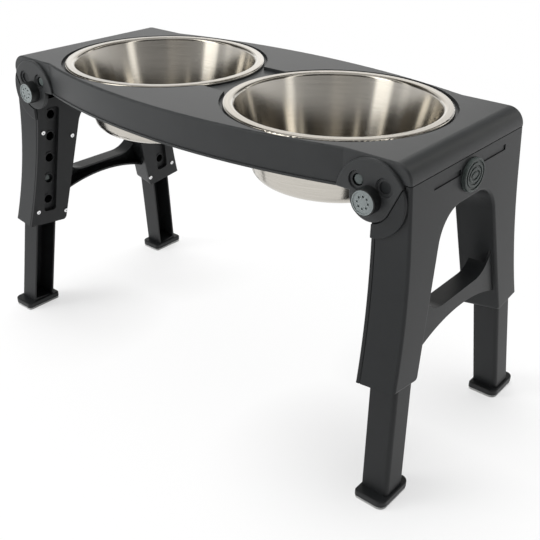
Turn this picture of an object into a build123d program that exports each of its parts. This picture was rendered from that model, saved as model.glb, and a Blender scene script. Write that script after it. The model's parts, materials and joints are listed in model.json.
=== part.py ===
from build123d import *
from math import cos, pi, radians, sin, tan
import os

# Raised feeder for two bowls: a moulded tray on two folding leg frames with telescoping legs.
# Millimetres. X runs along the tray, Y from its front to its back, Z up from the floor.
# Each corner is drawn at the right rear, where X and Y are positive, and mirrored to the others.

os.makedirs("parts", exist_ok=True)

# Fits and clearances
pivot_clearance = 0.06
slide_clearance = 0.35
button_clearance = 0.2
fold_gap = 0.3
parting_gap = 0.8

# Bowls
rim_diameter = 230.0
rim_width = 10.0
rim_bead = 4.2
rim_spacing = 17.0
bowl_depth = 77.0
bowl_sheet = 1.0
bowl_base_radius = 84.0
bowl_base_corner = 13.0
bowl_base_step = 1.6
bowl_base_ring_radius = 62.0
bowl_shoulder = 3.0
bowl_hole_clearance = 1.6

# Tray
tray_top = 335.0
tray_end = 274.2
tray_ear_half_width = 104.3
tray_middle_half_width = 134.0
tray_ear_length = 69.0
tray_wall = 3.0
tray_edge_round = 2.2
skirt_depth = 35.0
skirt_bead = 1.2
skirt_bead_height = 2.2
end_roll_radius = 17.0
end_lip = 0.4
recess_depth = 3.8
recess_margin = 3.5
recess_channel_half_width = 50.0
recess_channel_half_length = 24.0
recess_tip_radius = 7.0
bowl_collar_depth = 12.0
bowl_collar_wall = 2.5
land_rib_wall = 2.5

# Corner hinges
pivot_x = 236.8
pivot_drop = 37.5
pivot_pin_radius = 5.0
pivot_head_radius = 8.0
pivot_head_thickness = 3.0
lug_radius = 36.0
lug_neck_radius = 21.5
lug_flank_angle = -30.0
lug_shoulder_angle = 29.0
lug_proud = 3.7
lug_plate_thickness = 2.5
lug_edge_round = 1.6
cheek_radius = 30.0
cheek_thickness = 2.3
fold_angle = 90.0
lock_circle_radius = 19.5
lock_hole_radius = 5.7
lock_dish_radius = 8.8
lock_dish_floor = 0.8
cap_radius = 12.3
cap_height = 10.5
cap_rim = 1.2
cap_edge_round = 0.8
cap_disc_thickness = 2.2
cap_disc_dimples = 8
cap_disc_dimple_circle = 5.6
cap_disc_dimple_radius = 1.1
cap_pin_socket = 4.0

# Leg frames
lean_angle = 4.2
splay_angle = 7.0
frame_depth = 38.3
frame_wall = 2.4
frame_edge_round = 3.0
frame_height = 193.6
frame_waist_rise = 81.0
frame_waist_half_width = 107.8
frame_shoulder_drop = 49.6
frame_bottom_half_width = 124.0
frame_waist_flare = 3.2
frame_bottom_flare = 5.0
frame_toe_round = 5.0
arch_top_drop = 38.6
arch_foot_half_width = 84.0
arch_foot_drop = 5.0
arch_head_half_width = 58.5
arch_head_rise = 113.0
arch_corner_radius = 40.0
arch_taper_angle = 14.5
brace_bottom_rise = 36.0
brace_top_rise = 51.5
brace_inset = 5.0
brace_depth = 20.0
brace_top_corner = 34.0
brace_corner_bulge = 0.3
brace_foot_rise = 18.0
frame_front_edge = 3.5
panel_bar_half_length = 67.0
panel_bar_height = 5.6
panel_bar_drop = 9.0
panel_bar_depth = 1.1
panel_bar_margin = 2.0

# Cover plates and their screws
plate_thickness = 4.0
plate_groove = 0.8
plate_top_drop = 33.6
channel_width = 18.0
channel_floor = 1.6
channel_wall = 1.8
channel_gap = 0.7
channel_end_margin = 11.0
hole_boss_radius = 7.4
hole_boss_height = 0.8
screw_radius = 1.5
screw_hole_clearance = 0.2
screw_head_radius = 2.8
screw_head_height = 1.5
screw_length = 6.5
screw_socket_radius = 1.2
screw_socket_depth = 0.8
screw_pad_half_height = 5.0
screw_pad_margin = 3.0
upper_screw_outward = 14.0
upper_screw_rise = 122.0
upper_screw_inward = 30.0
upper_inward_screw_rise = 113.0
lower_screw_outward = 18.0
lower_screw_rise = 18.0
lower_screw_inward = 24.5
lower_inward_screw_rise = 12.0

# Telescoping legs
leg_inset = 16.0
tube_depth = 28.0
tube_width = 29.5
tube_wall = 2.2
tube_edge_round = 4.5
leg_foot_y = 115.4
button_rise = 59.0
hole_pitch = 27.8
holes_above_button = 3
holes_below_button = 1
height_hole_radius = 5.6
tube_top_margin = 14.0
tube_block_drop = 11.0
foot_length = 48.7
foot_width = 33.5
foot_shift = 1.3
foot_flange = 6.4
foot_outer_radius = 8.0
foot_inner_radius = 4.0
sole_thickness = 2.8
sole_margin = 0.5

# Sprung buttons and pins
button_radius = 4.6
button_dome = 2.6
button_collar = 1.1
button_collar_thickness = 2.0
button_lip = 1.8
pin_radius = 5.4
pin_dome = 2.2
button_spring_length = 13.0
pin_spring_length = 11.0
pin_housing_wall = 1.7
pin_housing_floor = 1.5
spring_wire_radius = 0.5
spring_turns = 6

# Release buttons in the end panels
release_width = 38.0
release_margin = 0.8
release_proud = 4.0
release_flange = 3.2
release_flange_thickness = 2.0
release_flange_trim = 0.8
release_rim = 2.2
release_rim_depth = 0.9
release_rings = 3
release_stub_radius = 4.5
release_stub_length = 7.0
release_spring_length = 16.8
release_seat_wall = 2.5
release_seat_half_width = 24.0
release_spring_wire_radius = 0.6

# Heights and places worked out from the sizes above
tray_bottom = tray_top - skirt_depth
recess_z = tray_top - recess_depth
rim_top = recess_z + rim_bead
rim_radius = rim_diameter / 2
bowl_x = (rim_diameter + rim_spacing) / 2
bowl_mouth_radius = rim_radius - rim_width
bowl_base_z = rim_top - bowl_depth
bowl_hole_radius = bowl_mouth_radius + bowl_hole_clearance
seam_z = tray_top - end_roll_radius - end_lip
pivot_z = tray_top - pivot_drop
frame_top_z = seam_z - parting_gap
frame_bottom_z = seam_z - frame_height
frame_waist_z = frame_bottom_z + frame_waist_rise
frame_shoulder_z = seam_z - frame_shoulder_drop
arch_top_z = seam_z - arch_top_drop
arch_foot_z = frame_bottom_z - arch_foot_drop
arch_head_z = frame_bottom_z + arch_head_rise
brace_bottom_z = frame_bottom_z + brace_bottom_rise
brace_top_z = frame_bottom_z + brace_top_rise
brace_foot_z = frame_bottom_z + brace_foot_rise
plate_top_z = seam_z - plate_top_drop
button_height = frame_bottom_z + button_rise
release_height = (arch_top_z + frame_top_z) / 2
release_tall = frame_top_z - arch_top_z - 2 * frame_wall - 2 * release_margin
lug_inner = tray_ear_half_width - tray_wall
lug_outer = tray_ear_half_width + lug_proud
lug_pocket_floor = lug_outer - lug_plate_thickness
lug_pocket_radius = cheek_radius + parting_gap
cheek_outer = lug_pocket_floor - fold_gap
cheek_inner = cheek_outer - cheek_thickness
pin_head_outer = cheek_inner - fold_gap
pin_collar_top = cheek_inner - button_clearance
pin_bore_base = pin_collar_top - button_collar_thickness - pin_spring_length
lean = radians(lean_angle)
splay = radians(splay_angle)
outward = Vector(cos(lean), 0, sin(lean))
outer_plane = Plane(origin=(tray_end, 0, seam_z), x_dir=(0, 1, 0), z_dir=outward)
foot_x = tray_end + (seam_z * sin(lean) - leg_inset) / cos(lean)
leg_up = Vector(-tan(lean), -tan(splay), 1).normalized()
leg_plane = Plane(origin=(foot_x, leg_foot_y, 0), x_dir=outward, z_dir=leg_up)
tube_outer = leg_inset - frame_wall - slide_clearance
tube_inner = tube_outer - tube_depth
plate_inner = leg_inset - frame_depth
channel_back = tube_inner - channel_gap
channel_front = channel_back - channel_floor
tube_top = button_height + tube_top_margin
lock_step = lock_circle_radius * cos(radians(fold_angle / 2))
hole_numbers = range(-holes_below_button, holes_above_button + 1)
hole_heights = [button_height + hole_pitch * number for number in hole_numbers]
lowest_hole = hole_heights[0]
highest_hole = hole_heights[-1]
retraction = hole_pitch * holes_above_button
far = 400.0

# The four corners: the sign of X and the sign of Y at each
corners = {
    "front_left": (-1, -1),
    "front_right": (1, -1),
    "rear_left": (-1, 1),
    "rear_right": (1, 1),
}


def outline(points):
    """A closed face through (x, y, radius) points, each corner rounded to its radius."""
    turns = []
    count = len(points)
    for number, (x, y, radius) in enumerate(points):
        here = Vector(x, y)
        before = (Vector(*points[number - 1][:2]) - here).normalized()
        after = (Vector(*points[(number + 1) % count][:2]) - here).normalized()
        half_angle = radians(before.get_angle(after)) / 2
        reach = radius / tan(half_angle)
        bisector = before + after
        arc_middle = here
        if radius > 0:
            arc_middle = here + bisector.normalized() * (radius / sin(half_angle) - radius)
        turns.append((here + before * reach, arc_middle, here + after * reach))
    edges = []
    for number, (start, arc_middle, end) in enumerate(turns):
        if points[number][2] > 0:
            edges.append(ThreePointArc(start, arc_middle, end))
        next_start = turns[(number + 1) % count][0]
        if (next_start - end).length > 1e-6:
            edges.append(Line(end, next_start))
    return Face(Wire(edges))


def prism_x(face, x_from, x_to):
    """A face drawn in Y and Z, as a prism between two X values."""
    placed = Plane(origin=(x_from, 0, 0), x_dir=(0, 1, 0), z_dir=(1, 0, 0)) * face
    return Solid.extrude(placed, Vector(x_to - x_from, 0, 0))


def prism_y(face, y_from, y_to):
    """A face drawn in X and Z, as a prism between two Y values."""
    placed = Plane(origin=(0, y_from, 0), x_dir=(1, 0, 0), z_dir=(0, -1, 0)) * face
    return Solid.extrude(placed, Vector(0, y_to - y_from, 0))


def prism_z(face, z_from, z_to):
    """A face drawn in X and Y, as a prism between two Z values."""
    return Solid.extrude(Pos(0, 0, z_from) * face, Vector(0, 0, z_to - z_from))


def block(x_from, x_to, y_from, y_to, z_from, z_to):
    """A box between two corners."""
    size = (x_to - x_from, y_to - y_from, z_to - z_from)
    return Pos(x_from, y_from, z_from) * Solid.make_box(*size)


def rod(radius, z_from, z_to, x=0.0, y=0.0):
    """A cylinder along Z between two heights."""
    return Solid.make_cylinder(radius, z_to - z_from, Plane(origin=(x, y, z_from)))


def across_plane(x, z):
    """A plane whose own Z runs along Y, so that its heights are distances from the middle."""
    return Plane(origin=(x, 0, z), x_dir=(1, 0, 0), z_dir=(0, 1, 0))


def coil_spring(radius, wire_radius, length, turns):
    """A compression spring standing on Z = 0."""
    rise = length - 2 * wire_radius
    path = Pos(0, 0, wire_radius) * Edge.make_helix(rise / turns, rise, radius)
    start = Plane(origin=path @ 0, z_dir=path % 0)
    section = Face(Wire([Edge.make_circle(wire_radius, start)]))
    return sweep(section, path=path, is_frenet=True).solid()


def domed_button(radius, tip, dome, collar_top):
    """A round sprung button along Z, with a domed end and a collar that holds it in."""
    base = collar_top - button_collar_thickness
    stem = rod(radius, base, tip)
    stem = fillet(stem.edges().filter_by(GeomType.CIRCLE).sort_by(Axis.Z)[-1], dome)
    return stem + rod(radius + button_collar, base, collar_top)


def to_corner(shape, side_x, side_y):
    """The right rear shape, mirrored to another corner."""
    if side_x < 0:
        shape = shape.mirror(Plane.YZ)
    if side_y < 0:
        shape = shape.mirror(Plane.XZ)
    return shape


def save(shape, name):
    """Write one node of the part."""
    export_step(shape, "parts/" + name + ".step")


def bowl():
    """A pressed steel bowl with a flat rolled rim, standing at the middle of the frame."""
    slope = (bowl_mouth_radius - bowl_base_radius) / (bowl_depth - bowl_sheet)
    ring = bowl_base_ring_radius
    step = bowl_base_step
    profile = outline([
        (0, bowl_base_z + step, 0),
        (ring - step, bowl_base_z + step, 0),
        (ring, bowl_base_z, 0),
        (bowl_base_radius, bowl_base_z, bowl_base_corner + bowl_sheet),
        (bowl_mouth_radius, rim_top - bowl_sheet, bowl_shoulder),
        (rim_radius - rim_bead / 2, rim_top - bowl_sheet, 0),
        (rim_radius - rim_bead / 2, rim_top, 0),
        (bowl_mouth_radius - bowl_sheet * (1 - slope), rim_top, bowl_shoulder + bowl_sheet),
        (bowl_base_radius - bowl_sheet, bowl_base_z + bowl_sheet, bowl_base_corner),
        (ring + bowl_sheet / 2, bowl_base_z + bowl_sheet, 0),
        (ring + bowl_sheet / 2 - step, bowl_base_z + bowl_sheet + step, 0),
        (0, bowl_base_z + bowl_sheet + step, 0),
    ])
    shell = revolve(Plane.XZ * profile, Axis.Z)
    bead_radius = rim_bead / 2
    bead_plane = Plane(origin=(0, 0, rim_top - bead_radius))
    bead = Solid.make_torus(rim_radius - bead_radius, bead_radius, bead_plane)
    return shell + bead


def tray_plan(inset):
    """The tray's outline from above: straight ends, flat ears and bowed long sides."""
    end = tray_end - inset
    ear = tray_ear_half_width - inset
    bow_start = tray_end - tray_ear_length
    middle = tray_middle_half_width - inset
    plan = outline([
        (-end, -ear, 0),
        (end, -ear, 0),
        (end, ear, 0),
        (-end, ear, 0),
    ])
    for side in (1, -1):
        start = (side * bow_start, side * ear)
        finish = (-side * bow_start, side * ear)
        bow = ThreePointArc(start, (0, side * middle), finish)
        plan = plan + Face(Wire([bow, Line(finish, start)]))
    return plan.face()


def tray_side(inset, bottom_z):
    """The tray seen from the front: its top rolls down at both ends to the seam."""
    end = tray_end - inset
    top = tray_top - inset
    roll = end_roll_radius - inset
    return outline([
        (-end, seam_z, 0),
        (-pivot_x, seam_z, 0),
        (-pivot_x, bottom_z, 0),
        (pivot_x, bottom_z, 0),
        (pivot_x, seam_z, 0),
        (end, seam_z, 0),
        (end, top, roll),
        (-end, top, roll),
    ])


def lug_face(grow, radius):
    """The corner lug seen from the side, about its pivot, grown by the parting gap."""
    flank = radians(lug_flank_angle)
    shoulder = radians(lug_shoulder_angle)
    low = Vector(lug_neck_radius * cos(flank), lug_neck_radius * sin(flank))
    high = Vector(lug_radius * cos(shoulder), lug_radius * sin(shoulder))
    along = (high - low).normalized()
    shift = Vector(along.Y, -along.X) * grow
    start = low + shift - along * grow
    finish = high + shift + along * lug_radius
    skirt = tray_bottom - pivot_z
    upper = outline([
        (-far, skirt, 0),
        (0, skirt, 0),
        (start.X, start.Y, 0),
        (finish.X, finish.Y, 0),
        (finish.X, far, 0),
        (-far, far, 0),
    ])
    disc = Face(Wire([Edge.make_circle(radius)]))
    neck = Face(Wire([Edge.make_circle(lug_neck_radius + grow)]))
    return (disc & upper) + neck


def lug_prism(grow, radius, y_from, y_to):
    """The lug's outline as a prism across the corner."""
    placed = Pos(pivot_x, pivot_z, 0) * lug_face(grow, radius)
    solids = []
    for face in placed.faces():
        solids.append(prism_y(face, y_from, y_to))
    return solids[0]


def is_outer_edge(edge):
    """Whether an edge of the tray's block runs along the front or back of its top or ends."""
    middle = edge.center()
    on_side = abs(middle.Y) > tray_ear_half_width / 2
    on_top = middle.Z > tray_top - 0.01
    on_end = abs(middle.X) > (pivot_x + tray_end) / 2 and middle.Z > seam_z + 0.01
    return on_side and (on_top or on_end)


def tray_shell():
    """The tray's outer shell: a beaded skirt, a sunken top and collars under the bowl holes."""
    outer = prism_z(tray_plan(0), tray_bottom, tray_top + 1)
    outer = outer & prism_y(tray_side(0, tray_bottom), -far, far)
    outer = fillet(outer.edges().filter_by(is_outer_edge), tray_edge_round)
    bow_start = tray_end - tray_ear_length
    bead = prism_z(tray_plan(-skirt_bead), tray_bottom, tray_bottom + skirt_bead_height)
    outer = outer + (bead & block(-bow_start, bow_start, -far, far, 0, far))
    hollow = prism_z(tray_plan(tray_wall), tray_bottom - 1, tray_top)
    hollow = hollow & prism_y(tray_side(tray_wall, tray_bottom - 1), -far, far)
    pan = prism_z(recess_outline(tray_wall), recess_z - tray_wall, tray_top - tray_wall)
    pan = pan & prism_z(tray_plan(tray_wall / 2), tray_bottom, tray_top)
    shell = outer - hollow + pan - prism_z(recess_outline(0), recess_z, tray_top + 1)
    collar_radius = bowl_hole_radius + bowl_collar_wall
    for side in (1, -1):
        x = side * bowl_x
        shell = shell + rod(collar_radius, recess_z - bowl_collar_depth, recess_z - 1, x=x)
    for side in (1, -1):
        shell = shell - rod(bowl_hole_radius, tray_bottom - 1, tray_top + 1, x=side * bowl_x)
    return shell


def land_ribs():
    """The two stiffening ribs under the tray, between the bowls and the long sides."""
    half = land_rib_wall / 2
    inside = tray_middle_half_width - tray_wall / 2
    rib = block(-half, half, recess_channel_half_width, inside, tray_bottom + skirt_depth / 4, recess_z - 1)
    return both_sides(rib)


def tray_lug():
    """The round lug that stands proud of the tray's corner over the hinge."""
    lug = lug_prism(0, lug_radius, lug_inner, lug_outer)
    rim = [edge for edge in lug.edges() if edge.center().Y > lug_outer - 0.01]
    return fillet(rim, lug_edge_round)


def tray_lug_cuts():
    """The pocket behind a lug, its pivot bore and its two dished lock holes."""
    cuts = rod(pivot_pin_radius, lug_inner - 1, lug_outer + 1)
    cuts = cuts + rod(lug_pocket_radius, lug_inner - 1, lug_pocket_floor)
    dish_depth = lug_plate_thickness - lock_dish_floor
    dish_plane = Plane(origin=(0, 0, lug_outer - dish_depth))
    dish = Solid.make_cone(lock_dish_radius - dish_depth / 2, lock_dish_radius, dish_depth, dish_plane)
    for side in (1, -1):
        place = Pos(side * lock_step, -lock_step, 0)
        cuts = cuts + place * rod(lock_hole_radius, lug_inner - 1, lug_outer + 1)
        cuts = cuts + place * dish
    return across_plane(pivot_x, pivot_z) * cuts


def tray():
    """The moulded tray: a ribbed shell with two bowl holes and four hinge lugs."""
    shell = tray_shell()
    for rib in land_ribs():
        shell = shell + rib
    lug = tray_lug()
    cuts = tray_lug_cuts()
    for side_x, side_y in corners.values():
        shell = shell + to_corner(lug, side_x, side_y)
    for side_x, side_y in corners.values():
        shell = shell - to_corner(cuts, side_x, side_y)
    return shell


def recess_outline(grow):
    """The sunken area of the tray's top: two circles and the channel that joins them."""
    radius = rim_radius + recess_margin + grow
    circles = []
    for side in (1, -1):
        circles.append(Face(Wire([Edge.make_circle(radius, Plane(origin=(side * bowl_x, 0, 0)))])))
    half_length = recess_channel_half_length
    half_width = recess_channel_half_width + grow
    tip = recess_tip_radius
    channel = outline([
        (-half_length, -half_width, tip),
        (half_length, -half_width, tip),
        (half_length, half_width, tip),
        (-half_length, half_width, tip),
    ])
    return (circles[0] + circles[1] + channel).face()


def frame_side_face(inset, flare):
    """A leg frame seen from the end: a panel over two splayed legs, as one closed outline."""
    head = frame_top_z - inset
    edge = tray_ear_half_width - inset
    waist = frame_waist_half_width + frame_waist_flare * flare - inset
    toe = frame_bottom_half_width + frame_bottom_flare * flare - inset
    toe_z = frame_bottom_z + inset
    middle_z = toe_z - toe * tan(splay)
    edges = [
        Line((-edge, head), (edge, head)),
        Line((edge, head), (edge, frame_shoulder_z)),
        ThreePointArc((edge, frame_shoulder_z), (waist, frame_waist_z), (toe, toe_z)),
        Line((toe, toe_z), (0, middle_z)),
        Line((0, middle_z), (-toe, toe_z)),
        ThreePointArc((-toe, toe_z), (-waist, frame_waist_z), (-edge, frame_shoulder_z)),
        Line((-edge, frame_shoulder_z), (-edge, head)),
    ]
    return Face(Wire(edges))


def frame_block(inset):
    """The flared block that a leg frame is cut from, wider towards the middle of the feeder."""
    wires = []
    for flare in (-2, 3):
        x = tray_end + frame_depth * (0.25 - flare)
        plane = Plane(origin=(x, 0, 0), x_dir=(0, 1, 0), z_dir=(1, 0, 0))
        wires.append((plane * frame_side_face(inset, flare)).outer_wire())
    return Solid.make_loft(wires, ruled=True)


def arch_face(grow):
    """The opening between a frame's legs seen from the end, grown by a distance."""
    slope = (arch_foot_half_width - arch_head_half_width) / (arch_head_z - arch_foot_z)
    low_z = arch_foot_z / 2
    low = arch_foot_half_width + slope * (arch_foot_z - low_z) + grow
    top_z = arch_top_z + grow
    high = arch_foot_half_width - slope * (top_z - arch_foot_z) + grow
    corner = arch_corner_radius + grow
    return outline([(-low, low_z, 0), (low, low_z, 0), (high, top_z, corner), (-high, top_z, corner)])


def arch_solid(grow):
    """The tapered opening between a frame's legs, narrower towards the middle of the feeder."""
    wide_x = tray_end + frame_depth / 2
    narrow_x = tray_end - 1.5 * frame_depth
    narrowing = (wide_x - narrow_x - frame_depth / 4) * tan(radians(arch_taper_angle))
    wide = Plane(origin=(wide_x, 0, 0), x_dir=(0, 1, 0), z_dir=(1, 0, 0)) * arch_face(grow)
    narrow = Plane(origin=(narrow_x, 0, 0), x_dir=(0, 1, 0), z_dir=(1, 0, 0)) * arch_face(grow - narrowing)
    return Solid.make_loft([wide.outer_wire(), narrow.outer_wire()], ruled=True)


def slab(offset_from, offset_to):
    """The space between two planes parallel to a frame's outer face."""
    depth = offset_to - offset_from
    box = Pos(-far, -far, offset_from) * Solid.make_box(2 * far, 2 * far, depth)
    return outer_plane * box


def leg_space(x_from, x_to, y_from, y_to, s_from, s_to):
    """A box along a leg, in the leg's own frame."""
    return leg_plane * block(x_from, x_to, y_from, y_to, s_from, s_to)


def both_sides(shape):
    """A shape and its mirror image across the middle of the frame."""
    return [shape, shape.mirror(Plane.XZ)]


def is_toe_edge(edge):
    """Whether an edge is one of the two where the arch meets the bottom of a leg."""
    middle = edge @ 0.5
    is_low = middle.Z < frame_bottom_z + frame_edge_round
    is_inside = abs(middle.Y) < leg_foot_y - tube_width / 2
    return is_low and is_inside and edge.length > frame_depth / 2 and abs((edge % 0.5).X) > 0.7


def frame_body():
    """The whole outer form of a leg frame with its cover plates on, as one solid."""
    body = frame_block(0) & slab(-frame_depth, 0)
    body = (body - arch_solid(0)).solid()
    return fillet([edge for edge in body.edges() if is_toe_edge(edge)], frame_toe_round)


def plate_zone():
    """Where the cover plates lie: the inner skin of the legs, below the hinge."""
    zone = slab(-frame_depth - 1, -frame_depth + plate_thickness)
    zone = zone & block(tray_end - 3 * frame_depth, tray_end + 2 * frame_depth, -far, far, 0, plate_top_z)
    for side in (1, -1):
        y_from = min(side * pin_head_outer, side * far)
        y_to = max(side * pin_head_outer, side * far)
        pivot = Plane(origin=(pivot_x, y_from, pivot_z), z_dir=(0, 1, 0))
        zone = zone - Solid.make_cylinder(lug_radius + parting_gap, y_to - y_from, pivot)
    return zone


def screw_places():
    """The four screws of a cover plate: how far outward from the leg's line, and how high."""
    return [
        (upper_screw_outward, frame_bottom_z + upper_screw_rise),
        (-upper_screw_inward, frame_bottom_z + upper_inward_screw_rise),
        (lower_screw_outward, frame_bottom_z + lower_screw_rise),
        (-lower_screw_inward, frame_bottom_z + lower_inward_screw_rise),
    ]


def screw_plane(outward_step, height):
    """A plane at a cover plate's inner face, its own Z running into the leg frame."""
    point = leg_plane.from_local_coords(Vector(plate_inner, outward_step, height))
    return Plane(origin=point, x_dir=leg_up, z_dir=outward)


def tube_passage():
    """The space that a telescoping leg sweeps through its frame."""
    half = tube_width / 2 + slide_clearance
    top = tube_top + retraction + 2
    return leg_space(tube_inner - slide_clearance, tube_outer + slide_clearance, -half, half, 0, top)


def sector():
    """The proud part of a leg frame's face that completes the hinge disc round the lug."""
    disc = across_plane(pivot_x, pivot_z) * rod(lug_radius, cheek_inner, lug_outer)
    disc = disc & block(pivot_x + frame_front_edge, pivot_x + far, 0, far, 0, frame_top_z)
    disc = disc - lug_prism(parting_gap, lug_radius + parting_gap, cheek_inner - 1, lug_outer + 1)
    solid = disc.solids().sort_by(SortBy.VOLUME)[-1]
    arcs = solid.edges().filter_by(GeomType.CIRCLE).filter_by(lambda edge: edge.radius > lug_radius - 0.1)
    rim = [arc for arc in arcs if arc.center().Y > lug_outer - 0.01]
    return fillet(rim, lug_edge_round)


def hinge_cheek():
    """The round cheek of a leg frame behind the lug, with the housing of its lock pin."""
    here = across_plane(pivot_x, pivot_z)
    lock = Pos(-lock_step, -lock_step, 0)
    housing_radius = pin_radius + button_collar + button_clearance + pin_housing_wall
    housing_base = pin_bore_base - pin_housing_floor
    skirt = pivot_z - tray_bottom + parting_gap
    cheek = rod(cheek_radius, cheek_inner, cheek_outer)
    cheek = cheek - block(-far, frame_front_edge, skirt, far, 0, far)
    cheek = cheek + rod(lug_neck_radius - fold_gap, cheek_inner, cheek_outer)
    cheek = cheek + lock * rod(housing_radius, housing_base, cheek_inner + 0.5)
    return here * cheek


def hinge_cheek_cuts():
    """The pivot bore, the room for its pin's head and the stepped bore of the lock pin."""
    here = across_plane(pivot_x, pivot_z)
    lock = Pos(-lock_step, -lock_step, 0)
    head_room = pivot_head_radius + parting_gap
    cuts = rod(pivot_pin_radius + pivot_clearance, cheek_inner - 1, cheek_outer + 1)
    cuts = cuts + rod(head_room, pin_head_outer - pivot_head_thickness - parting_gap, cheek_inner)
    bore_radius = pin_radius + button_clearance
    cuts = cuts + lock * rod(bore_radius, cheek_inner - 1, cheek_outer + 1)
    cuts = cuts + lock * rod(bore_radius + button_collar, pin_bore_base, cheek_inner)
    return here * cuts


def brace():
    """The arched brace between the legs of a frame, a channel open towards the middle."""
    x_from = tray_end - 2 * frame_depth
    x_to = tray_end + 2 * frame_depth
    back = -brace_inset - brace_depth
    bar = prism_x(brace_face(0), x_from, x_to) & slab(back, -brace_inset)
    pocket = prism_x(brace_face(frame_wall), x_from, x_to) & slab(back - 1, -brace_inset - frame_wall)
    return bar - pocket


def brace_face(inset):
    """The brace seen from the end, its top and bottom edges curving into the legs."""
    reach = arch_foot_half_width
    top = brace_top_z - inset
    bottom = brace_bottom_z + inset
    foot = brace_foot_z + inset
    shoulder = reach - inset - brace_top_corner / 2
    rise = top + brace_top_corner
    flat = shoulder - brace_top_corner
    bulge_y = shoulder - brace_top_corner * brace_corner_bulge
    bulge_z = top + brace_top_corner * brace_corner_bulge
    edges = [
        ThreePointArc((-reach, foot), (0, bottom), (reach, foot)),
        Line((reach, foot), (reach, rise)),
        Line((reach, rise), (shoulder, rise)),
        ThreePointArc((shoulder, rise), (bulge_y, bulge_z), (flat, top)),
        Line((flat, top), (-flat, top)),
        ThreePointArc((-flat, top), (-bulge_y, bulge_z), (-shoulder, rise)),
        Line((-shoulder, rise), (-reach, rise)),
        Line((-reach, rise), (-reach, foot)),
    ]
    return Face(Wire(edges))


def release_plane():
    """A plane at the middle of a release button, its own Z pointing out of the end panel."""
    x = tray_end + (seam_z - release_height) * tan(lean)
    return Plane(origin=(x, 0, release_height), x_dir=(0, 1, 0), z_dir=outward)


def oval(width, height, z_from, z_to):
    """An elliptical prism along Z."""
    edge = Edge.make_ellipse(width / 2, height / 2)
    return Solid.extrude(Pos(0, 0, z_from) * Face(Wire([edge])), Vector(0, 0, z_to - z_from))


def screw_pads(rounded):
    """The solid pads in a leg frame that the cover screws bite into."""
    pads = []
    for outward_step, height in screw_places():
        y_from = outward_step - screw_pad_margin
        y_to = far / 4
        if outward_step < 0:
            y_from = -far / 4
            y_to = outward_step + screw_pad_margin
        s_from = height - screw_pad_half_height
        s_to = height + screw_pad_half_height
        pad = leg_space(plate_inner + plate_thickness, channel_back, y_from, y_to, s_from, s_to)
        pad = pad & rounded & block(0, far, 0, far, 0, far)
        pads = pads + both_sides(pad)
    return pads


def release_seat(rounded):
    """The wall inside an end panel that the release spring pushes against."""
    offset = -frame_wall - fold_gap - release_flange_thickness - release_spring_length
    half = release_seat_half_width
    seat = slab(offset - release_seat_wall, offset) & rounded
    return seat & block(0, far, -half, half, arch_top_z / 2, far)


def frame_cavity():
    """The hollow inside a leg frame, open towards the middle of the feeder."""
    hollow = frame_block(frame_wall) & slab(-frame_depth - 1, -frame_wall)
    return hollow - arch_solid(frame_wall)


def hinge_spaces():
    """The room that a leg frame leaves round the tray's lug."""
    grown_radius = lug_radius + parting_gap
    over = lug_prism(parting_gap, grown_radius, cheek_outer, lug_outer + 1)
    ring = lug_prism(parting_gap, grown_radius, lug_inner - fold_gap, lug_outer + 1)
    ring = ring - across_plane(pivot_x, pivot_z) * rod(cheek_radius, 0, far)
    return [over, ring]


def leg_frame(body):
    """The right leg frame: end panel, two hollow legs, brace, cheeks and seats."""
    rounded = fillet(frame_outer_edges(body), frame_edge_round)
    shell = rounded - frame_cavity() - plate_zone()
    for pad in screw_pads(rounded):
        shell = shell + pad
    shell = shell + release_seat(rounded) + brace()
    for passage in both_sides(tube_passage()):
        shell = shell - passage
    for space in hinge_spaces():
        for cut in both_sides(space):
            shell = shell - cut
    for piece in both_sides(sector()) + both_sides(hinge_cheek()):
        shell = shell + piece
    for cut in both_sides(hinge_cheek_cuts()):
        shell = shell - cut
    for outward_step, height in screw_places():
        pilot = screw_plane(outward_step, height) * rod(screw_radius, 0, screw_length)
        for cut in both_sides(pilot):
            shell = shell - cut
    width = release_width + 2 * button_clearance
    tall = release_tall + 2 * button_clearance
    shell = shell - release_plane() * oval(width, tall, -2 * frame_wall, frame_wall)
    for groove in both_sides(panel_groove()):
        shell = shell - groove
    return shell


def panel_groove():
    """The shallow straight groove across an end panel, on one side of its button."""
    near = release_width / 2 + panel_bar_margin
    size = (panel_bar_half_length - near, panel_bar_height, far)
    corner = Pos(near, -panel_bar_drop - panel_bar_height, -panel_bar_depth)
    return outer_plane * (corner * Solid.make_box(*size))


def frame_outer_edges(body):
    """The long edges between a frame's outer face and its front and back faces."""
    chosen = []
    for edge in body.edges():
        middle = edge @ 0.5
        offset = (middle - outer_plane.origin).dot(outward)
        on_outer = abs(offset) < 0.01
        on_side = abs(middle.Y) > tray_ear_half_width - 0.5
        if on_outer and on_side and edge.length > frame_wall:
            chosen.append(edge)
    return chosen


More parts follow.
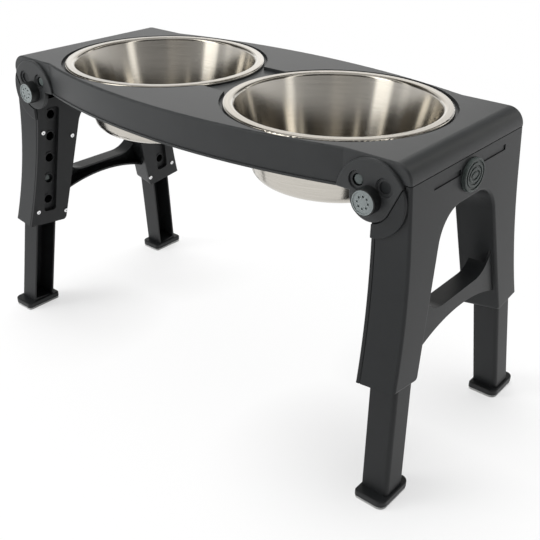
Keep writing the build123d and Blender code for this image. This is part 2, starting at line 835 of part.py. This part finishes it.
def cover_plate(body):
    """The right rear cover plate: a flat plate with a deep channel of height holes."""
    half_space = block(tray_end - 3 * frame_depth, tray_end + 2 * frame_depth, 0, far, 0, far)
    plate = body & plate_zone() & half_space
    plate = plate.solids().sort_by(SortBy.VOLUME)[-1]
    seam = -frame_depth + plate_thickness
    plate = plate - (slab(seam - plate_groove, seam) - frame_block(plate_groove))
    low = lowest_hole - channel_end_margin - hole_boss_radius / 2
    high = highest_hole + channel_end_margin
    half = channel_width / 2
    wall = channel_wall
    trough_from = plate_inner + plate_thickness / 2
    trough = leg_space(trough_from, channel_back, -half - wall, half + wall, low - wall, high + wall)
    trough = trough & body
    space = leg_space(plate_inner - 1, channel_front, -half, half, low, high)
    channel_depth = channel_front - plate_inner + 1
    corner_edges = space.edges().filter_by(lambda edge: abs(edge.length - channel_depth) < 0.01)
    space = fillet(corner_edges, half / 2)
    plate = plate + trough - space
    for height in hole_heights:
        here = hole_plane(height)
        ring = here * rod(hole_boss_radius, -channel_front - 0.2, -channel_front + hole_boss_height)
        plate = plate + ring
    for height in hole_heights:
        here = hole_plane(height)
        plate = plate - here * rod(height_hole_radius, -channel_back - 1, -plate_inner + 1)
    for outward_step, height in screw_places():
        hole = rod(screw_radius + screw_hole_clearance, -1, plate_thickness + 1)
        plate = plate - screw_plane(outward_step, height) * hole
    return plate.solids().sort_by(SortBy.VOLUME)[-1]


def hole_plane(height):
    """A plane on a leg's line at one height, its own Z pointing to the middle of the feeder."""
    point = leg_plane.from_local_coords(Vector(0, 0, height))
    return Plane(origin=point, x_dir=leg_up, z_dir=outward * -1)


def cover_screws():
    """The four pan head screws that hold a cover plate."""
    screws = []
    for outward_step, height in screw_places():
        head = rod(screw_head_radius, -screw_head_height, 0)
        head = fillet(head.edges().sort_by(Axis.Z)[0], screw_head_height / 2)
        screw = head + rod(screw_radius, -0.1, screw_length)
        socket = rod(screw_socket_radius, -screw_head_height - 1, -screw_head_height + screw_socket_depth)
        screws.append(screw_plane(outward_step, height) * (screw - socket).solid())
    return Compound(screws)


def inner_leg():
    """The right rear telescoping leg: an open channel with a button block and a wide foot."""
    half = tube_width / 2
    low = sole_thickness + foot_flange / 2
    tube = leg_space(tube_inner, tube_outer, -half, half, low, tube_top)
    long_edges = tube.edges().filter_by(lambda edge: edge.length > tube_top - low - 1)
    outer_edges = [edge for edge in long_edges if leg_plane.to_local_coords(edge @ 0.5).X > 0]
    tube = fillet(outer_edges, tube_edge_round)
    inside = half - tube_wall
    block_base = button_height - tube_block_drop
    hollow_top = tube_outer - tube_wall
    tube = tube - leg_space(tube_inner - 1, hollow_top, -inside, inside, low + foot_flange, block_base)
    here = hole_plane(button_height)
    lip_back = -tube_inner - button_lip
    bore_base = lip_back - button_clearance - button_collar_thickness - button_spring_length
    bore_radius = button_radius + button_clearance
    tube = tube - here * rod(bore_radius, lip_back - 1, -tube_inner + 1)
    tube = tube - here * rod(bore_radius + button_collar, bore_base, lip_back)
    foot = prism_z(foot_face(0), sole_thickness, sole_thickness + foot_flange)
    top_edges = foot.edges().group_by(Axis.Z)[-1]
    foot = fillet(top_edges, foot_flange / 4)
    return tube + foot


def foot_face(margin):
    """The outline of a foot from above, rounder at its outer corners."""
    middle_x = foot_x - foot_shift
    half_x = foot_width / 2 - margin
    half_y = foot_length / 2 - margin
    soft = foot_outer_radius - margin
    tight = foot_inner_radius - margin
    face = outline([
        (-half_x, -half_y, tight),
        (half_x, -half_y, soft),
        (half_x, half_y, soft),
        (-half_x, half_y, tight),
    ])
    return Pos(middle_x, leg_foot_y, 0) * face


def sole():
    """The rubber sole under a foot."""
    return prism_z(foot_face(sole_margin), 0, sole_thickness)


def height_button():
    """The sprung button that holds a telescoping leg at one of its holes."""
    lip_back = -tube_inner - button_lip
    tip = -channel_back - fold_gap
    top = lip_back - button_clearance
    button = domed_button(button_radius, tip, button_dome, top)
    return hole_plane(button_height) * button


def height_spring():
    """The spring behind a height button."""
    lip_back = -tube_inner - button_lip
    base = lip_back - button_clearance - button_collar_thickness - button_spring_length
    spring = coil_spring(button_radius, spring_wire_radius, button_spring_length, spring_turns)
    return hole_plane(button_height) * Pos(0, 0, base) * spring


def fold_pin():
    """The domed lock pin that shows in a lug's hole and holds the frame open or folded."""
    pin = domed_button(pin_radius, cheek_outer, pin_dome, pin_collar_top)
    return across_plane(pivot_x, pivot_z) * Pos(-lock_step, -lock_step, 0) * pin


def fold_pin_spring():
    """The spring behind a lock pin."""
    spring = coil_spring(pin_radius, spring_wire_radius, pin_spring_length, spring_turns)
    return across_plane(pivot_x, pivot_z) * Pos(-lock_step, -lock_step, pin_bore_base) * spring


def pivot_pin():
    """The steel pin that a leg frame turns on."""
    head = rod(pivot_head_radius, pin_head_outer - pivot_head_thickness, pin_head_outer)
    shank = rod(pivot_pin_radius, pin_head_outer - 1, lug_outer + cap_pin_socket)
    return across_plane(pivot_x, pivot_z) * (head + shank)


def pivot_cap():
    """The round cap on the outer end of a pivot pin."""
    top = lug_outer + cap_height
    cap = rod(cap_radius, lug_outer, top)
    cap = fillet(cap.edges().filter_by(GeomType.CIRCLE).sort_by(Axis.Z)[-1], cap_edge_round)
    cap = cap - rod(cap_radius - cap_rim, top - cap_disc_thickness, top + 1)
    cap = cap - rod(pivot_pin_radius, lug_outer - 1, lug_outer + cap_pin_socket)
    return across_plane(pivot_x, pivot_z) * cap


def cap_disc():
    """The pale disc let into a cap, with a raised edge and a ring of dimples."""
    base = lug_outer + cap_height - cap_disc_thickness
    radius = cap_radius - cap_rim
    disc = rod(radius, base, lug_outer + cap_height)
    disc = disc - rod(radius - cap_rim, lug_outer + cap_height - cap_rim / 2, lug_outer + cap_height + 1)
    for number in range(cap_disc_dimples):
        angle = 2 * pi * number / cap_disc_dimples
        x = cap_disc_dimple_circle * cos(angle)
        y = cap_disc_dimple_circle * sin(angle)
        disc = disc - rod(cap_disc_dimple_radius, base + cap_rim / 2, lug_outer + cap_height, x=x, y=y)
    return across_plane(pivot_x, pivot_z) * disc


def release_button():
    """The oval button that frees a leg frame, with its flange and spring stub."""
    flange_top = -frame_wall - fold_gap
    flange_base = flange_top - release_flange_thickness
    button = oval(release_width, release_tall, flange_top - 1, release_proud)
    button = fillet(button.edges().sort_by(Axis.Z)[-1], release_rim_depth)
    floor = release_proud - release_rim_depth
    for ring in range(release_rings):
        outer = 2 * release_rim * (1 + 2 * ring)
        inner = outer + 2 * release_rim
        channel = oval(release_width - outer, release_tall - outer, floor, release_proud + 1)
        island = oval(release_width - inner, release_tall - inner, floor - 1, release_proud + 2)
        button = button - (channel - island)
    flange_width = release_width + 2 * release_flange
    flange_tall = release_tall - release_flange_trim
    flange = oval(flange_width, flange_tall, flange_base, flange_top)
    stub = rod(release_stub_radius, flange_base - release_stub_length, flange_base + 1)
    return release_plane() * (button + flange + stub)


def release_spring():
    """The spring that pushes a release button out."""
    base = -frame_wall - fold_gap - release_flange_thickness - release_spring_length
    radius = release_stub_radius + 3 * release_spring_wire_radius
    spring = coil_spring(radius, release_spring_wire_radius, release_spring_length, spring_turns)
    return release_plane() * Pos(0, 0, base) * spring


corner_pieces = {
    "cover_screws": cover_screws(),
    "inner_leg": inner_leg(),
    "sole": sole(),
    "height_button": height_button(),
    "height_spring": height_spring(),
    "fold_pin": fold_pin(),
    "fold_pin_spring": fold_pin_spring(),
    "pivot_pin": pivot_pin(),
    "pivot_cap": pivot_cap(),
    "cap_disc": cap_disc(),
}

whole_frame = frame_body()
corner_pieces["cover_plate"] = cover_plate(whole_frame)

side_pieces = {
    "bowl": Pos(bowl_x, 0, 0) * bowl(),
    "leg_frame": leg_frame(whole_frame),
    "release_button": release_button(),
    "release_spring": release_spring(),
}

save(tray(), "tray")
for name, piece in side_pieces.items():
    save(piece, name + "_right")
    save(piece.mirror(Plane.YZ), name + "_left")
for name, piece in corner_pieces.items():
    for corner, (side_x, side_y) in corners.items():
        save(to_corner(piece, side_x, side_y), name + "_" + corner)
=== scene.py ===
import json
import math

import bpy
from mathutils import Matrix, Vector

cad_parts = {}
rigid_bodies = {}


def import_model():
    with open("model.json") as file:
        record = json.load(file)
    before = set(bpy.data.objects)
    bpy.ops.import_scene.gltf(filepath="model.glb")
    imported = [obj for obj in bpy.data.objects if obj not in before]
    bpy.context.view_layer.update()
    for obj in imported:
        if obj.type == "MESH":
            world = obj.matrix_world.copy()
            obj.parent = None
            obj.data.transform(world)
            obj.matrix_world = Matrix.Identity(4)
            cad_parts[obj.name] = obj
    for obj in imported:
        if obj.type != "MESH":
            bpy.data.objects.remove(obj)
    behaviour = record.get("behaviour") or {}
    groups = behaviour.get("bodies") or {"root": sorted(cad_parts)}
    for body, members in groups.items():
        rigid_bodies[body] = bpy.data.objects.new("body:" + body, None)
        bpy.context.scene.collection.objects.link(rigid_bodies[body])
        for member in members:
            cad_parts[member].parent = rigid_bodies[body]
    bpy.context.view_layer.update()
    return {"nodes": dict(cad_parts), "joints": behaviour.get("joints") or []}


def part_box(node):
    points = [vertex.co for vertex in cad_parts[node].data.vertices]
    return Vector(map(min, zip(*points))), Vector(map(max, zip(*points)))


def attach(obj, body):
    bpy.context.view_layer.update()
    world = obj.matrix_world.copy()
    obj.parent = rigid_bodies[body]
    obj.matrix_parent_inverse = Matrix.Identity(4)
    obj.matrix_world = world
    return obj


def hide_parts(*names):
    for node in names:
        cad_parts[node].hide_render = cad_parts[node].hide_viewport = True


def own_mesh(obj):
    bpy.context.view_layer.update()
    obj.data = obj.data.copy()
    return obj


# Looks of the raised feeder: charcoal moulded plastic, brushed steel bowls, grey buttons.
# Metres throughout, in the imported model's own frame.

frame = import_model()

# Colours, linear
CHARCOAL_TRAY = (0.036, 0.038, 0.039)
CHARCOAL_FRAME = (0.0165, 0.018, 0.019)
CHARCOAL_COVER = (0.017, 0.018, 0.019)
CHARCOAL_LEG = (0.013, 0.014, 0.015)
CAP_BLACK = (0.011, 0.012, 0.012)
PIN_GREY = (0.11, 0.13, 0.127)
RELEASE_GREY = (0.06, 0.073, 0.069)
DISC_GREY = (0.25, 0.28, 0.28)
SOLE_GREY = (0.5, 0.505, 0.5)
BOWL_STEEL = (0.57, 0.542, 0.492)
SPRING_STEEL = (0.55, 0.55, 0.55)
PIN_STEEL = (0.6, 0.6, 0.59)
SCREW_ZINC = (0.82, 0.82, 0.83)
FLOOR_WHITE = (0.93, 0.93, 0.93)
PURE_WHITE = (1.0, 1.0, 1.0, 1.0)

# Roughness of each finish
TRAY_ROUGHNESS = 0.38
FRAME_ROUGHNESS = 0.4
COVER_ROUGHNESS = 0.52
SMALL_PART_ROUGHNESS = 0.42
PIN_GREY_ROUGHNESS = 0.22
SOLE_ROUGHNESS = 0.8
BOWL_ROUGHNESS = 0.17
SPRING_ROUGHNESS = 0.32
PIN_STEEL_ROUGHNESS = 0.3
SCREW_ROUGHNESS = 0.22
FLOOR_ROUGHNESS = 0.8

# How far the roughness strays below and above its value
PLASTIC_STRAY = (0.05, 0.07)
RUBBER_STRAY = (0.05, 0.12)
STEEL_STRAY = (0.02, 0.03)
METAL_STRAY = (0.06, 0.08)

# How far the brightness of a colour strays either way, as a share
PLASTIC_SWING = 0.07
RUBBER_SWING = 0.12
STEEL_SWING = 0.14
METAL_SWING = 0.08

# Gloss
PLASTIC_SPECULAR = 0.3
FLOOR_SPECULAR = 0.2
BRUSHED_ANISOTROPY = 0.85
BRUSHED_TURN = 0.25

# Real sizes of surface detail
MOULD_GRAIN = 0.0005
MOULD_GRAIN_DEPTH = 0.00003
MOULD_CLOUD = 0.03
RUBBER_GRAIN = 0.001
RUBBER_GRAIN_DEPTH = 0.00006
RUBBER_CLOUD = 0.01
BRUSH_LINE = 0.0004
BRUSH_DEPTH = 0.000002
BREAKS_PER_RADIAN = 3
TURNING_LINE = 0.0003
TURNING_DEPTH = 0.000012

# The part of a noise value's range that holds most of it
NOISE_LOW = 0.25
NOISE_HIGH = 0.75

# Camera, fitted to the photograph
CAMERA_PLACE = (0.58028, -0.64871, 0.57583)
CAMERA_TURN = math.radians(39.9)
CAMERA_TILT = math.radians(61.31)
CAMERA_ROLL = math.radians(0.6)
CAMERA_LENS = 54.36
CAMERA_SENSOR = 36.0

# Strengths of the room: its light, and what metal and gloss show of it from the horizon up
WORLD_LEVEL = 0.21
BACKGROUND_LEVEL = 1.0
CEILING_LEVEL = 0.42
OVERHEAD_LEVEL = 0.62

# Heights where one part of the room gives way to the next, as the sine of the elevation
BACKGROUND_TOP = 0.14
CEILING_START = 0.34
CEILING_END = 0.8
OVERHEAD_START = 0.94

# Bands of the ceiling, placed so that the bowls' streaks fall where the photograph has them:
# the share of a turn round the room, and the brightness there
CEILING_BANDS = (
    (0.0, 0.3), (0.04, 0.04), (0.09, 0.06), (0.105, 3.2), (0.12, 2.6), (0.135, 0.08), (0.16, 0.1),
    (0.172, 7.5), (0.218, 7.0), (0.23, 0.1), (0.27, 0.1), (0.33, 0.3), (0.36, 0.4), (0.38, 0.04),
    (0.44, 0.06), (0.495, 0.1), (0.51, 5.0), (0.522, 4.2), (0.535, 0.1), (0.58, 0.2), (0.63, 0.05),
    (0.68, 0.4), (0.7, 4.6), (0.72, 0.2), (0.79, 0.06), (0.84, 0.7), (0.87, 0.8), (0.91, 0.1),
    (0.96, 0.3),
)

# Green and blue of the bands, as shares of their red
BRIGHT_BAND_LEVEL = 1.0
BRIGHT_BAND_TONE = (0.98, 0.93)
DARK_BAND_TONE = (0.91, 0.77)

# The floor: how much of its own white shows near a foot and elsewhere, and where it fades out; less white
# near a foot paints a soft shade round it
FLOOR_SIZE = 16.0
FOOT_SHADOW_START = 0.04
FOOT_SHADOW_END = 0.19
FOOT_SHADE_GLOW = 0.6
FLOOR_GLOW = 0.96
FAR_START = 0.6
FAR_END = 1.4

# The middle of the feeder, at which the lamps point
LIGHT_AIM = (0.0, 0.0, 0.2)


def new_material(name):
    """A node material with a Principled shader, and its tree and shader."""
    material = bpy.data.materials.new(name)
    material.use_nodes = True
    tree = material.node_tree
    shader = tree.nodes["Principled BSDF"]
    return material, tree, shader


def add(tree, kind, **inputs):
    """A node with some of its inputs set; spaces in input names are written as underscores."""
    node = tree.nodes.new(kind)
    for name, value in inputs.items():
        node.inputs[name.replace("_", " ")].default_value = value
    return node


def math_node(tree, operation, first, second=None):
    """A maths node whose inputs are sockets or numbers; returns its output."""
    node = tree.nodes.new("ShaderNodeMath")
    node.operation = operation
    for socket, value in zip(node.inputs, (first, second)):
        if isinstance(value, bpy.types.NodeSocket):
            tree.links.new(value, socket)
        elif value is not None:
            socket.default_value = value
    return node.outputs[0]


def vector_math(tree, operation, first, second=None):
    """A vector maths node; the first input is a socket and the second a fixed vector."""
    node = tree.nodes.new("ShaderNodeVectorMath")
    node.operation = operation
    tree.links.new(first, node.inputs[0])
    if second is not None:
        node.inputs[1].default_value = second
    return node


def object_place(tree):
    """The point on the object, in metres."""
    return tree.nodes.new("ShaderNodeTexCoord").outputs["Object"]


def noise(tree, place, size, detail=2.0, roughness=0.5):
    """Noise with features of a real size; returns its value."""
    node = add(tree, "ShaderNodeTexNoise", Scale=1.0 / size, Detail=detail, Roughness=roughness)
    tree.links.new(place, node.inputs["Vector"])
    return node.outputs["Fac"]


def spread(tree, value, low, high):
    """Maps the middle of a noise value onto a range."""
    node = add(tree, "ShaderNodeMapRange", From_Min=NOISE_LOW, From_Max=NOISE_HIGH, To_Min=low, To_Max=high)
    tree.links.new(value, node.inputs["Value"])
    return node.outputs["Result"]


def vary_colour(tree, shader, value, colour, swing):
    """Gives a shader a colour whose brightness varies with a noise value."""
    node = tree.nodes.new("ShaderNodeMix")
    node.data_type = "RGBA"
    darker = [channel * (1 - swing) for channel in colour] + [1.0]
    lighter = [min(channel * (1 + swing), 1.0) for channel in colour] + [1.0]
    node.inputs["A"].default_value = darker
    node.inputs["B"].default_value = lighter
    tree.links.new(spread(tree, value, 0.0, 1.0), node.inputs["Factor"])
    tree.links.new(node.outputs["Result"], shader.inputs["Base Color"])


def vary_roughness(tree, shader, value, roughness, stray):
    """Gives a shader a roughness that varies with a noise value."""
    below, above = stray
    varied = spread(tree, value, roughness - below, roughness + above)
    tree.links.new(varied, shader.inputs["Roughness"])


def bump(tree, shader, height, depth):
    """Gives a shader a relief of a real depth."""
    node = add(tree, "ShaderNodeBump", Strength=1.0, Distance=depth)
    tree.links.new(height, node.inputs["Height"])
    tree.links.new(node.outputs["Normal"], shader.inputs["Normal"])


def moulded_plastic(name, colour, roughness):
    """Matte moulded plastic with a fine spark-eroded grain."""
    material, tree, shader = new_material(name)
    place = object_place(tree)
    cloud = noise(tree, place, MOULD_CLOUD, detail=4.0)
    grain = noise(tree, place, MOULD_GRAIN, detail=3.0)
    vary_colour(tree, shader, cloud, colour, PLASTIC_SWING)
    vary_roughness(tree, shader, grain, roughness, PLASTIC_STRAY)
    shader.inputs["Specular IOR Level"].default_value = PLASTIC_SPECULAR
    bump(tree, shader, grain, MOULD_GRAIN_DEPTH)
    return material


def rubber(name, colour, roughness):
    """Soft rubber, dusty and without gloss."""
    material, tree, shader = new_material(name)
    place = object_place(tree)
    cloud = noise(tree, place, RUBBER_CLOUD, detail=5.0)
    vary_colour(tree, shader, cloud, colour, RUBBER_SWING)
    vary_roughness(tree, shader, cloud, roughness, RUBBER_STRAY)
    bump(tree, shader, noise(tree, place, RUBBER_GRAIN), RUBBER_GRAIN_DEPTH)
    return material


def drawn_metal(name, colour, roughness):
    """Plain bright metal with fine drawing marks."""
    material, tree, shader = new_material(name)
    marks = noise(tree, object_place(tree), TURNING_LINE, detail=3.0)
    vary_colour(tree, shader, marks, colour, METAL_SWING)
    vary_roughness(tree, shader, marks, roughness, METAL_STRAY)
    shader.inputs["Metallic"].default_value = 1.0
    bump(tree, shader, marks, TURNING_DEPTH)
    return material


def ring_lines(tree, centre, line):
    """Fine lines that run round a vertical axis, as spinning or turning leaves them."""
    shift = vector_math(tree, "SUBTRACT", object_place(tree), centre)
    parts = tree.nodes.new("ShaderNodeSeparateXYZ")
    tree.links.new(shift.outputs["Vector"], parts.inputs["Vector"])
    x, y, z = parts.outputs
    x_squared = math_node(tree, "MULTIPLY", x, x)
    y_squared = math_node(tree, "MULTIPLY", y, y)
    radius = math_node(tree, "SQRT", math_node(tree, "ADD", x_squared, y_squared))
    angle = math_node(tree, "ARCTAN2", y, x)
    along = math_node(tree, "MULTIPLY", angle, line * BREAKS_PER_RADIAN)
    joined = tree.nodes.new("ShaderNodeCombineXYZ")
    for socket, value in zip(joined.inputs, (radius, z, along)):
        tree.links.new(value, socket)
    return noise(tree, joined.outputs["Vector"], line, detail=3.0, roughness=0.6)


def spun_steel(name, colour, centre, roughness):
    """Steel brushed round a vertical axis, with highlights drawn out across the lines."""
    material, tree, shader = new_material(name)
    lines = ring_lines(tree, centre, BRUSH_LINE)
    vary_colour(tree, shader, lines, colour, STEEL_SWING)
    vary_roughness(tree, shader, lines, roughness, STEEL_STRAY)
    shader.inputs["Metallic"].default_value = 1.0
    shader.inputs["Anisotropic"].default_value = BRUSHED_ANISOTROPY
    shader.inputs["Anisotropic Rotation"].default_value = BRUSHED_TURN
    tangent = tree.nodes.new("ShaderNodeTangent")
    tangent.direction_type = "RADIAL"
    tangent.axis = "Z"
    tree.links.new(tangent.outputs["Tangent"], shader.inputs["Tangent"])
    bump(tree, shader, lines, BRUSH_DEPTH)
    return material


def middle_of(node):
    """The middle of a node's box."""
    low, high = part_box(node)
    return (Vector(low) + Vector(high)) / 2


def dress(name, material):
    """Gives a CAD node its material."""
    mesh = frame["nodes"][name].data
    mesh.materials.clear()
    mesh.materials.append(material)


def dress_all():
    """Gives every CAD node its material, chosen by the node's name without its place."""
    pin_grey = moulded_plastic("pin_grey", PIN_GREY, PIN_GREY_ROUGHNESS)
    spring_metal = drawn_metal("spring_steel", SPRING_STEEL, SPRING_ROUGHNESS)
    looks = {
        "tray": moulded_plastic("tray_charcoal", CHARCOAL_TRAY, TRAY_ROUGHNESS),
        "leg_frame": moulded_plastic("frame_charcoal", CHARCOAL_FRAME, FRAME_ROUGHNESS),
        "cover_plate": moulded_plastic("cover_charcoal", CHARCOAL_COVER, COVER_ROUGHNESS),
        "inner_leg": moulded_plastic("leg_charcoal", CHARCOAL_LEG, SMALL_PART_ROUGHNESS),
        "sole": rubber("sole_grey", SOLE_GREY, SOLE_ROUGHNESS),
        "release_button": moulded_plastic("release_grey", RELEASE_GREY, SMALL_PART_ROUGHNESS),
        "height_button": pin_grey,
        "fold_pin": pin_grey,
        "cap_disc": moulded_plastic("disc_grey", DISC_GREY, SMALL_PART_ROUGHNESS),
        "pivot_cap": moulded_plastic("cap_black", CAP_BLACK, SMALL_PART_ROUGHNESS),
        "pivot_pin": drawn_metal("pin_steel", PIN_STEEL, PIN_STEEL_ROUGHNESS),
        "cover_screws": drawn_metal("screw_zinc", SCREW_ZINC, SCREW_ROUGHNESS),
        "release_spring": spring_metal,
        "height_spring": spring_metal,
        "fold_pin_spring": spring_metal,
    }
    longest_first = sorted(looks, key=len, reverse=True)
    for name in frame["nodes"]:
        if name.startswith("bowl_"):
            dress(name, spun_steel(name + "_steel", BOWL_STEEL, middle_of(name), BOWL_ROUGHNESS))
            continue
        kind = next(kind for kind in longest_first if name == kind or name.startswith(kind + "_"))
        dress(name, looks[kind])


def springs_that_shorten():
    """Stands a copy of each rigid packed spring, on its own mesh and carried by its joint's parent body, in
    place of the packed one.
    """
    for joint in frame["joints"]:
        for entry in joint.get("deforming_nodes", []):
            node = frame["nodes"][entry["node"]]
            spring = bpy.data.objects.new(node.name + "_coil", node.data.copy())
            bpy.context.collection.objects.link(spring)
            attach(spring, joint["parent"])
            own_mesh(spring)
            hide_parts(node.name)


def shader_mix(tree, share, first, second):
    """A mix of two shader nodes; the share is how much of the second one shows."""
    node = tree.nodes.new("ShaderNodeMixShader")
    tree.links.new(share, node.inputs["Fac"])
    tree.links.new(first.outputs[0], node.inputs[1])
    tree.links.new(second.outputs[0], node.inputs[2])
    return node


def seen_directly(tree):
    """Whether a ray comes from the camera, and whether it is one that metal or glass sends out."""
    path = tree.nodes.new("ShaderNodeLightPath")
    mirrored = math_node(tree, "MAXIMUM", path.outputs["Is Glossy Ray"], path.outputs["Is Transmission Ray"])
    return path.outputs["Is Camera Ray"], mirrored


def ceiling_colour(tree, x, y):
    """The ceiling's bands, laid out round the room."""
    turn = math_node(tree, "MULTIPLY_ADD", math_node(tree, "ARCTAN2", y, x), 1 / (2 * math.pi))
    turn.node.inputs[2].default_value = 0.5
    ramp = tree.nodes.new("ShaderNodeValToRGB")
    tree.links.new(turn, ramp.inputs["Fac"])
    elements = ramp.color_ramp.elements
    while len(elements) < len(CEILING_BANDS):
        elements.new(0.5)
    for element, (position, level) in zip(elements, CEILING_BANDS):
        element.position = position
        green, blue = BRIGHT_BAND_TONE if level > BRIGHT_BAND_LEVEL else DARK_BAND_TONE
        element.color = (level, level * green, level * blue, 1.0)
    return ramp.outputs["Color"]


def studio_world():
    """Even light from a white background, and a banded ceiling above it for the steel to show."""
    world = bpy.data.worlds.new("studio")
    bpy.context.scene.world = world
    world.use_nodes = True
    tree = world.node_tree
    tree.nodes.clear()
    direction = tree.nodes.new("ShaderNodeTexCoord").outputs["Generated"]
    parts = tree.nodes.new("ShaderNodeSeparateXYZ")
    tree.links.new(direction, parts.inputs["Vector"])
    x, y, z = parts.outputs

    light = add(tree, "ShaderNodeBackground", Color=PURE_WHITE, Strength=WORLD_LEVEL)
    white = add(tree, "ShaderNodeBackground", Color=PURE_WHITE, Strength=BACKGROUND_LEVEL)
    overhead = add(tree, "ShaderNodeBackground", Color=PURE_WHITE, Strength=OVERHEAD_LEVEL)
    ceiling = add(tree, "ShaderNodeBackground", Strength=CEILING_LEVEL)
    tree.links.new(ceiling_colour(tree, x, y), ceiling.inputs["Color"])

    above_background = add(tree, "ShaderNodeMapRange", From_Min=BACKGROUND_TOP, From_Max=CEILING_START)
    near_overhead = add(tree, "ShaderNodeMapRange", From_Min=CEILING_END, From_Max=OVERHEAD_START)
    for node in (above_background, near_overhead):
        tree.links.new(z, node.inputs["Value"])
    camera_ray, mirrored_ray = seen_directly(tree)
    upper = shader_mix(tree, near_overhead.outputs["Result"], ceiling, overhead)
    room = shader_mix(tree, above_background.outputs["Result"], white, upper)
    lit_or_mirrored = shader_mix(tree, mirrored_ray, light, room)
    choice = shader_mix(tree, camera_ray, lit_or_mirrored, white)
    output = tree.nodes.new("ShaderNodeOutputWorld")
    tree.links.new(choice.outputs["Shader"], output.inputs["Surface"])


def studio_floor():
    """A white floor that keeps the lamps' shadows, with a soft shade painted round each foot, and fades into
    the background.
    """
    bpy.ops.mesh.primitive_plane_add(size=FLOOR_SIZE, location=(0, 0, 0))
    floor = bpy.context.object
    floor.name = "floor"
    material, tree, shader = new_material("floor_white")
    shader.inputs["Base Color"].default_value = (*FLOOR_WHITE, 1.0)
    shader.inputs["Roughness"].default_value = FLOOR_ROUGHNESS
    shader.inputs["Specular IOR Level"].default_value = FLOOR_SPECULAR

    # The four feet mirror each other, so one corner of the floor stands for all
    foot_x, foot_y, _ = middle_of("sole_rear_right")
    folded = vector_math(tree, "ABSOLUTE", object_place(tree)).outputs["Vector"]
    from_foot = vector_math(tree, "SUBTRACT", folded, (foot_x, foot_y, 0.0)).outputs["Vector"]
    to_foot = vector_math(tree, "LENGTH", from_foot).outputs["Value"]
    to_middle = vector_math(tree, "LENGTH", folded).outputs["Value"]
    # Less of the floor's white shows within a ring round each foot. This paints a shade there and lets the
    # lamps' shadows show more
    near = add(tree, "ShaderNodeMapRange", From_Min=FOOT_SHADOW_START, From_Max=FOOT_SHADOW_END,
               To_Min=FOOT_SHADE_GLOW, To_Max=FLOOR_GLOW)
    tree.links.new(to_foot, near.inputs["Value"])
    distant = add(tree, "ShaderNodeMapRange", From_Min=FAR_START, From_Max=FAR_END)
    tree.links.new(to_middle, distant.inputs["Value"])
    glow = math_node(tree, "MAXIMUM", near.outputs["Result"], distant.outputs["Result"])

    camera_ray, mirrored_ray = seen_directly(tree)
    shown = math_node(tree, "MAXIMUM", camera_ray, mirrored_ray)
    white = add(tree, "ShaderNodeEmission", Color=PURE_WHITE, Strength=BACKGROUND_LEVEL)
    choice = shader_mix(tree, math_node(tree, "MULTIPLY", shown, glow), shader, white)
    tree.links.new(choice.outputs["Shader"], tree.nodes["Material Output"].inputs["Surface"])
    floor.data.materials.append(material)


def studio_camera():
    """The camera at the photograph's place."""
    data = bpy.data.cameras.new("camera")
    data.lens = CAMERA_LENS
    data.sensor_width = CAMERA_SENSOR
    camera = bpy.data.objects.new("camera", data)
    bpy.context.collection.objects.link(camera)
    turn = Matrix.Rotation(CAMERA_TURN, 4, "Z") @ Matrix.Rotation(CAMERA_TILT, 4, "X")
    turn = turn @ Matrix.Rotation(CAMERA_ROLL, 4, "Z")
    camera.matrix_world = Matrix.Translation(CAMERA_PLACE) @ turn
    bpy.context.scene.camera = camera


def area_light(name, place, size, power, mirrored=True):
    """A soft light that points at the feeder; one that isn't mirrored leaves no highlight."""
    data = bpy.data.lights.new(name, "AREA")
    data.shape = "RECTANGLE"
    data.size, data.size_y = size
    data.energy = power
    lamp = bpy.data.objects.new(name, data)
    bpy.context.collection.objects.link(lamp)
    lamp.location = place
    lamp.rotation_mode = "QUATERNION"
    lamp.rotation_quaternion = (Vector(LIGHT_AIM) - Vector(place)).to_track_quat("-Z", "Y")
    lamp.visible_glossy = mirrored


def studio_lights():
    """A broad light overhead, a softer one at the front left and a low one at the back for the sheen."""
    area_light("top_light", place=(-0.3, 0.3, 2.4), size=(2.2, 1.6), power=62.0, mirrored=False)
    area_light("front_light", place=(-1.5, -1.5, 1.1), size=(0.9, 0.9), power=26.0, mirrored=False)
    area_light("sheen_light", place=(-1.8, 2.0, 1.6), size=(2.4, 1.6), power=8.0)


studio_camera()
studio_world()
studio_floor()
studio_lights()
dress_all()
springs_that_shorten()
bpy.context.scene.view_settings.view_transform = "Standard"
